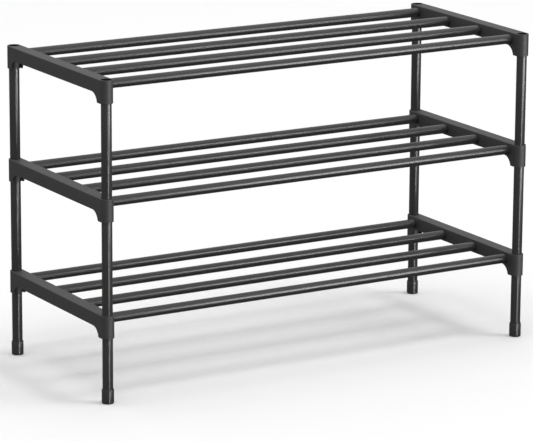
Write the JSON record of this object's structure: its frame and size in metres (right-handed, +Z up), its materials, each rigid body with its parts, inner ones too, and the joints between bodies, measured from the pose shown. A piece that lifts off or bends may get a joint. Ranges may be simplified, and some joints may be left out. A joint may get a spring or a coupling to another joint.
{
  "type": "tiered shoe rack",
  "caption": "Open tiered rack of round rods between moulded end brackets on slim corner posts, for storing shoes.",
  "frame": {"origin": "on the floor, in the middle of the rack's footprint", "axes": "+X along the shelves to the right, +Y from front to back, +Z up"},
  "size_m": [0.6634, 0.279, 0.43],
  "materials": {
    "bracket_plastic": "fine-textured black moulding, satin",
    "tube_paint": "black powder coat, semi-gloss",
    "foot_plastic": "smooth black moulding, satin"
  },
  "bodies": {
    "root": {"bracket_left_bottom": "bracket_plastic", "bracket_left_middle": "bracket_plastic", "bracket_left_top": "bracket_plastic", "bracket_right_bottom": "bracket_plastic", "bracket_right_middle": "bracket_plastic", "bracket_right_top": "bracket_plastic", "shelf_tube_bottom_1": "tube_paint", "shelf_tube_bottom_2": "tube_paint", "shelf_tube_bottom_3": "tube_paint", "shelf_tube_bottom_4": "tube_paint", "shelf_tube_middle_1": "tube_paint", "shelf_tube_middle_2": "tube_paint", "shelf_tube_middle_3": "tube_paint", "shelf_tube_middle_4": "tube_paint", "shelf_tube_top_1": "tube_paint", "shelf_tube_top_2": "tube_paint", "shelf_tube_top_3": "tube_paint", "shelf_tube_top_4": "tube_paint", "leg_front_left": "tube_paint", "leg_front_right": "tube_paint", "leg_rear_left": "tube_paint", "leg_rear_right": "tube_paint", "post_lower_front_left": "tube_paint", "post_lower_front_right": "tube_paint", "post_lower_rear_left": "tube_paint", "post_lower_rear_right": "tube_paint", "post_upper_front_left": "tube_paint", "post_upper_front_right": "tube_paint", "post_upper_rear_left": "tube_paint", "post_upper_rear_right": "tube_paint", "foot_front_left": "foot_plastic", "foot_front_right": "foot_plastic", "foot_rear_left": "foot_plastic", "foot_rear_right": "foot_plastic"}
  },
  "joints": []
}
